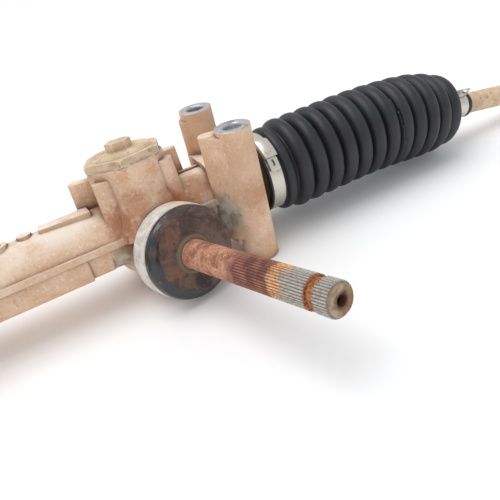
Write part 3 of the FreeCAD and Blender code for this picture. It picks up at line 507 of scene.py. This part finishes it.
def rusted_shaft():
    """Rust that changes along the shaft: orange, purple-brown splines, a pale band and bare grey teeth."""
    look = Finish("rusted_shaft", specular=0.3)
    along, away = look.from_pinion()
    place = look.maths("ADD", along, look.ragged(170, 5, 0.7, 24 * mm))
    blotch = look.noise(110, 5, 0.68, shift=0.2)
    fine = look.noise(700, 4, 0.7, shift=0.8)
    orange = look.mix(look.step(blotch, 0.38, 0.62), rgb(150, 99, 80), rgb(198, 146, 120))
    orange = look.mix(look.step(fine, 0.55, 0.66), orange, rgb(116, 66, 54))
    pale_rust = look.patches(330, 4, 0.7, shift=3.4, low=0.57, high=0.64, share=0.7)
    orange = look.mix(pale_rust, orange, rgb(222, 170, 136))
    purple = look.mix(look.step(blotch, 0.4, 0.6), rgb(122, 80, 73), rgb(164, 114, 98))
    pale = look.mix(look.step(fine, 0.4, 0.6), rgb(236, 192, 146), rgb(204, 146, 102))
    grey = look.mix(look.step(fine, 0.45, 0.65), rgb(194, 193, 186), rgb(158, 156, 148))
    colour = orange
    for leaves, reaches, band in ((82, 88, purple), (111, 117, pale), (119, 127, grey)):
        colour = look.mix(look.step(place, leaves * mm, reaches * mm), colour, band)
    deep = look.step(away, 7.75 * mm, 7.45 * mm)
    toothed = look.step(along, 89 * mm, 90 * mm)
    gap_shade = look.mix(look.step(place, 116 * mm, 124 * mm), rgb(78, 44, 40), rgb(120, 86, 62))
    colour = look.mix(look.times(deep, toothed, 0.7), colour, gap_shade)
    ragged = look.ragged(330, 4, 0.7, 5 * mm, shift=4.1)
    crusted = look.maths("ADD", along, ragged)
    groove_end = look.step(crusted, 142.6 * mm, 141.8 * mm)
    groove = look.times(look.step(crusted, 136.6 * mm, 137.4 * mm), groove_end)
    crumbs = look.mix(look.step(fine, 0.35, 0.65), rgb(140, 78, 50), rgb(204, 142, 96))
    colour = look.mix(groove, colour, crumbs)
    tip = look.step(along, 150.4 * mm, 150.9 * mm)
    face = look.mix(look.step(blotch, 0.40, 0.60), rgb(188, 174, 150), rgb(146, 116, 90))
    face = look.mix(look.step(look.maths("ADD", away, ragged), 4.6 * mm, 2.6 * mm), face, rgb(96, 58, 46))
    colour = look.mix(tip, colour, face)
    # The centre bore in the shaft's end is painted dark brown: painted shade inside it.
    shaded_bore = look.times(look.step(away, 2.7 * mm, 2.3 * mm), look.step(along, 130 * mm, 131 * mm))
    colour = look.mix(shaded_bore, colour, rgb(70, 42, 34))
    bright = look.step(place, 121 * mm, 124 * mm)
    rough = look.blend(look.times(bright, 0.6), 0.9, 0.5)
    crust = look.bump(look.noise(360, 5, 0.75, shift=0.5), 0.75, 0.7 * mm)
    swollen = look.bump(look.times(groove, look.noise(500, 4, 0.7, shift=2.5)), 0.9, 1.2 * mm, crust)
    pits = look.bump(look.noise(1600, 3, 0.7, shift=1.5), 0.45, 0.3 * mm, swollen)
    return look.finish(colour, rough, look.times(bright, 0.35), pits)


def on_cap(place):
    """The point on the cap's face at a place given in shares of its radius, to the right and up."""
    right, up = place
    return pinion_centre + pinion_dir * cap_face + (pinion_side * right + pinion_up * up) * cap_r


def rusted_cap():
    """Glossy black paint, wide at the rim's upper left, and a rusted face with flakes of paint on it."""
    look = Finish("rusted_cap", specular=0.8)
    along, away = look.from_pinion()
    offset = look.vector("SUBTRACT", look.place, tuple(pinion_centre))
    upper_left = tuple(pinion_up * 0.5 - pinion_side * 0.87)
    towards = look.vector("DOT_PRODUCT", offset, upper_left)
    painted_from = look.blend(look.step(towards, -6 * mm, 17 * mm), cap_r * 0.97, cap_r * 0.76)
    ragged = look.ragged(160, 5, 0.7, 6 * mm)
    reach = look.maths("SUBTRACT", look.maths("ADD", away, ragged), painted_from)
    blotch = look.noise(120, 5, 0.65, shift=0.4, distort=0.6)
    fine = look.noise(800, 4, 0.7, shift=0.9)
    rust = look.mix(look.step(blotch, 0.38, 0.60), rgb(76, 59, 53), rgb(112, 88, 77))
    rust = look.spotted(rust, rgb(84, 62, 54), (90, 4, 0.6, 1.7), 0.56, 0.66)
    for place, size, share, stain in cap_stains:
        rust = look.mix(look.times(look.near(on_cap(place), size * cap_r), share), rust, rgb(*stain))
    rust = look.mix(look.times(look.step(fine, 0.60, 0.68), 0.55), rust, rgb(160, 118, 96))
    rust = look.spotted(rust, rgb(56, 42, 40), (420, 4, 0.7, 6.6), 0.58, 0.66, 0.7)
    paint = look.mix(look.noise(300, 3, 0.6, shift=2.0), rgb(16, 17, 22), rgb(30, 33, 42))
    flake = look.patches(80, 4, 0.7, shift=2.9, low=0.63, high=0.66)
    painted = look.maths("MAXIMUM", look.step(reach, -0.3 * mm, 0.4 * mm), look.times(flake, 0.8))
    for place, size in rim_rust:
        painted = look.times(painted, look.maths("SUBTRACT", 1.0, look.near(on_cap(place), size * cap_r)))
    colour = look.mix(painted, rust, paint)
    raised = look.step(along, cap_face - 0.4 * mm, cap_face + 0.3 * mm)
    lip = look.times(look.step(away, 11.3 * mm, 10.3 * mm), raised)
    colour = look.mix(look.times(lip, 0.85), colour, look.mix(fine, rgb(136, 120, 98), rgb(98, 82, 64)))
    rough = look.blend(painted, 0.92, 0.2)
    flaking = look.times(look.noise(380, 5, 0.7, shift=3.5), look.maths("SUBTRACT", 1.1, painted))
    return look.finish(colour, rough, None, look.bump(flaking, 0.8, 0.8 * mm))


# Shapes


def start_piece(name, sides, profile):
    """A ring of points about the X axis at the profile's first point, in edit mode, ready to be drawn out."""
    x, radius = profile[0]
    bpy.ops.object.select_all(action="DESELECT")
    bpy.ops.mesh.primitive_circle_add(
        vertices=sides, radius=radius, location=(x, 0, 0), rotation=(0, math.pi / 2, 0))
    piece = bpy.context.object
    piece.name = name
    bpy.ops.object.transform_apply(location=True, rotation=True, scale=True)
    bpy.ops.object.mode_set(mode="EDIT")
    bpy.ops.mesh.select_mode(type="VERT")
    bpy.ops.mesh.select_all(action="SELECT")
    return piece


def draw_on(profile):
    """Draws the ring along the (x, radius) points that follow its first one."""
    for (last_x, last_r), (x, r) in zip(profile, profile[1:]):
        bpy.ops.mesh.extrude_region_move(TRANSFORM_OT_translate={"value": (x - last_x, 0, 0)})
        bpy.ops.transform.resize(value=(1, r / last_r, r / last_r), center_override=(x, 0, 0))


def apply_modifier(piece, kind, **settings):
    bpy.context.view_layer.objects.active = piece
    modifier = piece.modifiers.new(kind.lower(), kind)
    for key, value in settings.items():
        setattr(modifier, key, value)
    bpy.ops.object.modifier_apply(modifier=modifier.name)


def round_edges(piece, width, segments):
    limits = {"limit_method": "ANGLE", "angle_limit": sharp_turn}
    apply_modifier(piece, "BEVEL", width=width, segments=segments, **limits)


def choose_faces(piece, wanted):
    """Selects, in edit mode, the faces whose centre passes a test."""
    bpy.ops.object.mode_set(mode="OBJECT")
    for face in piece.data.polygons:
        face.select = wanted(face.center)
    for edge in piece.data.edges:
        edge.select = False
    for vertex in piece.data.vertices:
        vertex.select = False
    for face in piece.data.polygons:
        if face.select:
            for number in face.vertices:
                piece.data.vertices[number].select = True
    bpy.ops.object.mode_set(mode="EDIT")
    bpy.ops.mesh.select_mode(type="FACE")


def bellows_profile():
    """Outer (x, radius) points of the bellows, straight along X, from cuff to neck."""
    profile = [
        (126.3, 22.9), (126.5, 23.7), (127.5, 23.9), (128.0, 23.4), (136.6, 23.4), (137.0, 24.2),
        (137.3, 25.8), (138.6, 26.6), (141.4, 26.7), (143.2, 26.0), (144.7, 22.9),
    ]
    crests = [28.9] * 9 + [28.6, 27.4, 24.8]
    first_middle, spacing, depth, smallest = 150.5, 11, 6.2, 20.5
    for number, top in enumerate(crests):
        middle = first_middle + spacing * number
        drop = min(depth, top - smallest)
        if number:
            profile.append((middle - spacing / 2, top - drop))
        for offset, share in ((4.9, 0.62), (3.7, 0.22), (1.7, 0.02)):
            profile.append((middle - offset, top - share * drop))
        for offset, share in ((1.7, 0.02), (3.7, 0.22), (4.9, 0.62)):
            profile.append((middle + offset, top - share * drop))
    profile += [
        (276.2, 19.5), (277.2, 13.5), (277.9, 9.6), (279.0, 8.9), (281, 8.8), (286.6, 8.8), (287.2, 8.6),
        (296.9, 8.6), (297.4, 9.1), (300.4, 9.2), (301.0, 8.2),
    ]
    return [(x * mm, r * mm) for x, r in profile]


def bend_line():
    """The bellows' centre line: straight at the housing, then turning down to the tie rod."""
    bend_r = bend_reach / math.tan(tie_rod_droop / 2)
    start = Vector((ball_x - bend_reach, 0, rack_z))
    down = Vector((math.cos(tie_rod_droop), 0, -math.sin(tie_rod_droop)))
    end = start + Vector((bend_r * math.sin(tie_rod_droop), 0, bend_r * (math.cos(tie_rod_droop) - 1)))
    handle = 4 / 3 * math.tan(tie_rod_droop / 4) * bend_r
    points = [
        (Vector((0, 0, rack_z)), Vector((1, 0, 0)), 30 * mm, 50 * mm),
        (start, Vector((1, 0, 0)), 30 * mm, handle),
        (end, down, handle, 30 * mm),
        (end + down * 80 * mm, down, 25 * mm, 25 * mm),
    ]
    bpy.ops.object.select_all(action="DESELECT")
    bpy.ops.curve.primitive_bezier_curve_add(location=(0, 0, 0))
    line = bpy.context.object
    line.name = "bend_line"
    line.data.resolution_u = 64
    spline = line.data.splines[0]
    spline.bezier_points.add(len(points) - 2)
    for knot, (place, direction, before, after) in zip(spline.bezier_points, points):
        knot.handle_left_type = "FREE"
        knot.handle_right_type = "FREE"
        knot.co = place
        knot.handle_left = place - direction * before
        knot.handle_right = place + direction * after
    return line


def make_bellows(line, paint):
    """Three lengths of one rubber sleeve, cut apart at two places out from the mounting tubes."""
    profile = bellows_profile()
    piece = start_piece("bellows_sleeve", bellows_sides, profile)
    draw_on(profile)
    bpy.ops.mesh.select_all(action="SELECT")
    bpy.ops.mesh.normals_make_consistent(inside=False)
    bpy.ops.object.mode_set(mode="OBJECT")
    apply_modifier(piece, "SUBSURF", levels=1, render_levels=1)
    apply_modifier(piece, "CURVE", object=line, deform_axis="POS_X")
    bpy.ops.object.mode_set(mode="OBJECT")
    bpy.ops.object.shade_smooth()
    lengths = []
    for name, cut_x in (("bellows_stretch", turn_from + pair_x), ("bellows_bend", tip_from + pair_x)):
        choose_faces(piece, lambda centre: centre.x < cut_x)
        bpy.ops.mesh.separate(type="SELECTED")
        bpy.ops.object.mode_set(mode="OBJECT")
        cut = [o for o in bpy.context.selected_objects if o is not piece][0]
        cut.name = name
        lengths.append(cut)
        bpy.ops.object.select_all(action="DESELECT")
        piece.select_set(True)
        bpy.context.view_layer.objects.active = piece
    piece.name = "bellows_end"
    lengths.append(piece)
    for length in lengths:
        apply_modifier(length, "SOLIDIFY", thickness=1.1 * mm, offset=-1, use_rim=True)
        length.data.materials.clear()
        length.data.materials.append(paint)
    return lengths


def turned_round(piece, name):
    """A copy with its own mesh, turned half round to the rack's left end."""
    bpy.ops.object.select_all(action="DESELECT")
    twin = piece.copy()
    twin.data = piece.data.copy()
    twin.name = name
    bpy.context.collection.objects.link(twin)
    twin.rotation_euler = (0, 0, math.pi)
    twin.select_set(True)
    bpy.context.view_layer.objects.active = twin
    bpy.ops.object.transform_apply(location=False, rotation=True, scale=False)
    return twin


def strap(name, profile, thickness, first=-180, last=180, window=None):
    """A strip round the X axis between two angles. 0 is the top, and they grow towards the viewer."""
    profile = [(x * mm, r * mm) for x, r in profile]
    piece = start_piece(name, strap_sides, profile)
    draw_on(profile)
    bpy.ops.mesh.select_all(action="SELECT")
    bpy.ops.mesh.normals_make_consistent(inside=False)

    def unwanted(centre):
        angle = math.degrees(math.atan2(-centre.y, centre.z))
        if not first < angle < last:
            return True
        if window is None:
            return False
        (low_x, high_x), (low_angle, high_angle) = window
        return low_x * mm < centre.x < high_x * mm and low_angle < angle < high_angle

    choose_faces(piece, unwanted)
    if any(face.select for face in piece.data.polygons):
        bpy.ops.mesh.delete(type="FACE")
    bpy.ops.object.mode_set(mode="OBJECT")
    apply_modifier(piece, "SOLIDIFY", thickness=thickness * mm, offset=1, use_rim=True)
    round_edges(piece, 0.18 * mm, 2)
    bpy.ops.object.shade_smooth_by_angle(angle=smooth_turn)
    return piece


def joined(pieces, name):
    bpy.ops.object.select_all(action="DESELECT")
    for piece in pieces:
        piece.select_set(True)
    bpy.context.view_layer.objects.active = pieces[0]
    bpy.ops.object.join()
    pieces[0].name = name
    return pieces[0]


def placed(piece, place, tilt, paint):
    """Moves and tilts a piece that was made about the X axis, and paints it."""
    bpy.ops.object.select_all(action="DESELECT")
    piece.select_set(True)
    bpy.context.view_layer.objects.active = piece
    piece.rotation_euler = (0, tilt, 0)
    piece.location = place
    bpy.ops.object.transform_apply(location=True, rotation=True, scale=False)
    piece.data.materials.clear()
    piece.data.materials.append(paint)
    return piece


def make_band(paint):
    """The wide clamp: a band, a strap over it, a raised buckle, and the strap's slotted end below that."""
    over_buckle = [(128.2, 24.5), (128.8, 25.5), (129.6, 25.8), (135.0, 25.8), (135.8, 25.5), (136.4, 24.5)]
    end_profile = [(129.0, 24.5), (131.2, 24.6), (132.8, 24.6), (135.4, 24.5)]
    slot = ((131.2, 132.8), (54, 63))
    parts = [
        strap("band", [(128.0, 23.75), (128.5, 23.58), (136.1, 23.58), (136.6, 23.75)], 0.7),
        strap("over_strap", [(129.0, 24.36), (135.6, 24.36)], 0.5, -75, 21),
        strap("buckle", over_buckle, 0.7, 20, 50),
        strap("strap_end", end_profile, 0.5, 48, 70, slot),
    ]
    return placed(joined(parts, "wide_band"), (0, 0, rack_z), 0, paint)


def casting_web(name, sign, paint):
    """A solid round a front column, its root and the mounting tube, where the casting joins all three."""
    bottom, top = 14.9 * mm, 77.9 * mm
    bpy.ops.object.select_all(action="DESELECT")
    rounds = []
    for x, y, r in ((97.5, -17.75, 4.85), (99, -19.25, 5.0), (110, -26.75, 9.95)):
        middle = (sign * x * mm, y * mm, (top + bottom) / 2)
        bpy.ops.mesh.primitive_cylinder_add(vertices=64, radius=r * mm, depth=top - bottom, location=middle)
        rounds.append(bpy.context.object)
    web = joined(rounds, name)
    bpy.ops.object.transform_apply(location=True, rotation=True, scale=True)
    bpy.ops.object.mode_set(mode="EDIT")
    bpy.ops.mesh.select_all(action="SELECT")
    bpy.ops.mesh.convex_hull()
    bpy.ops.mesh.normals_make_consistent(inside=False)
    bpy.ops.object.mode_set(mode="OBJECT")
    round_edges(web, 0.9 * mm, 3)
    bpy.ops.object.shade_smooth_by_angle(angle=smooth_turn)
    web.data.materials.clear()
    web.data.materials.append(paint)
    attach(web, "housing")


def clip_ear(name, side, height, windowed):
    """A tab that stands up from the small clip, seen flat from the viewer, with a window through it."""
    bpy.ops.object.select_all(action="DESELECT")
    bpy.ops.mesh.primitive_grid_add(x_subdivisions=6, y_subdivisions=6, size=1, location=(0, 0, 0))
    ear = bpy.context.object
    ear.name = name
    ear.scale = (clip_width * 0.86, height * mm, 1)
    ear.rotation_euler = (math.pi / 2, 0, 0)
    bpy.ops.object.transform_apply(location=False, rotation=True, scale=True)
    if windowed:
        sill, lintel = -0.16 * height * mm, 0.36 * height * mm
        choose_faces(ear, lambda centre: abs(centre.x) < 2.6 * mm and sill < centre.z < lintel)
        bpy.ops.mesh.delete(type="FACE")
        bpy.ops.object.mode_set(mode="OBJECT")
    apply_modifier(ear, "SOLIDIFY", thickness=0.8 * mm, offset=0, use_rim=True)
    round_edges(ear, 0.25 * mm, 2)
    ear.location = (clip_start + clip_width / 2, side * 2.3 * mm, 9.1 * mm + height * mm / 2)
    ear.rotation_euler = (-side * math.radians(8), 0, 0)
    bpy.ops.object.transform_apply(location=True, rotation=True, scale=False)
    return ear


def make_clip(paint):
    """The small clamp on the tie rod end: a band with a tall windowed ear and a short one behind it."""
    start = clip_start / mm
    profile = [(start, 9.0), (start + 0.5, 8.92), (start + 9.5, 8.92), (start + 10, 9.0)]
    band = strap("clip_band", profile, 0.8)
    tall = clip_ear("near_ear", side=-1, height=7.2, windowed=True)
    short = clip_ear("far_ear", side=1, height=2.6, windowed=False)
    ears = joined([tall, short], "ears")
    ears.rotation_euler = (math.radians(25), 0, 0)
    ears.select_set(True)
    bpy.context.view_layer.objects.active = ears
    bpy.ops.object.transform_apply(location=False, rotation=True, scale=False)
    return placed(joined([band, ears], "small_clip"), (ball_x, 0, rack_z), tie_rod_droop, paint)


# Making


bpy.context.scene.view_settings.view_transform = "Standard"
add_camera()
add_world()
add_floor()
add_sun(strength=1.30, spread=50, place=(-0.30, 0.16, 1.1))

casting = dusty_casting()
steel_dust = dusty_steel()
steel = machined_steel()
bronze = bronze_bush()
plastic = cage_plastic()
black_rubber = rubber()
band_metal = bright_band()
shaft_rust = rusted_shaft()
cap_rust = rusted_cap()

paints = {
    casting: ("rack_housing", "yoke"),
    steel_dust: ("yoke_plug", "yoke_lock_nut", "tie_rod_right", "tie_rod_left"),
    steel: (
        "rack_bar", "bearing_outer_ring", "bearing_inner_ring", "bearing_balls", "bearing_circlip",
        "shaft_circlip", "yoke_spring", "ball_socket_right", "ball_socket_left", "lock_washer_right",
        "lock_washer_left",
    ),
    bronze: ("rack_bush", "tail_bush"),
    plastic: ("bearing_cage", "yoke_liner", "ball_seat_right", "ball_seat_left"),
    black_rubber: ("pinion_seal", "yoke_o_ring", "bellows_right", "bellows_left"),
    band_metal: ("bellows_clamp_right", "bellows_clamp_left", "spring_clamp_right", "spring_clamp_left"),
    shaft_rust: ("pinion_shaft",),
    cap_rust: ("pinion_dust_cap",),
}
for paint, names in paints.items():
    for name in names:
        nodes[name].data.materials.clear()
        nodes[name].data.materials.append(paint)

line = bend_line()
right_lengths = make_bellows(line, black_rubber)
bpy.data.objects.remove(line)
for side, sign in (("right", 1), ("left", -1)):
    casting_web("front_web_" + side, sign, casting)
right_pieces = (*right_lengths, make_band(band_metal), make_clip(band_metal))
piece_names = ("bellows_stretch", "bellows_bend", "bellows_end", "wide_band", "small_clip")
left_pieces = [turned_round(piece, piece.name + "_left") for piece in right_pieces]
for side, sign, pieces in (("right", 1, right_pieces), ("left", -1, left_pieces)):
    stretch, bend, end, band, clip = pieces
    seat, rod = "ball_seat_" + side, "tie_rod_" + side
    for piece, name in zip(pieces, piece_names):
        piece.name = name + "_" + side
    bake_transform(stretch)
    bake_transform(bend)
    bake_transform(end)
    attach(band, "housing")
    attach(clip, rod)
    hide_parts("bellows_" + side)
    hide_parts("bellows_clamp_" + side)
    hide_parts("spring_clamp_" + side)
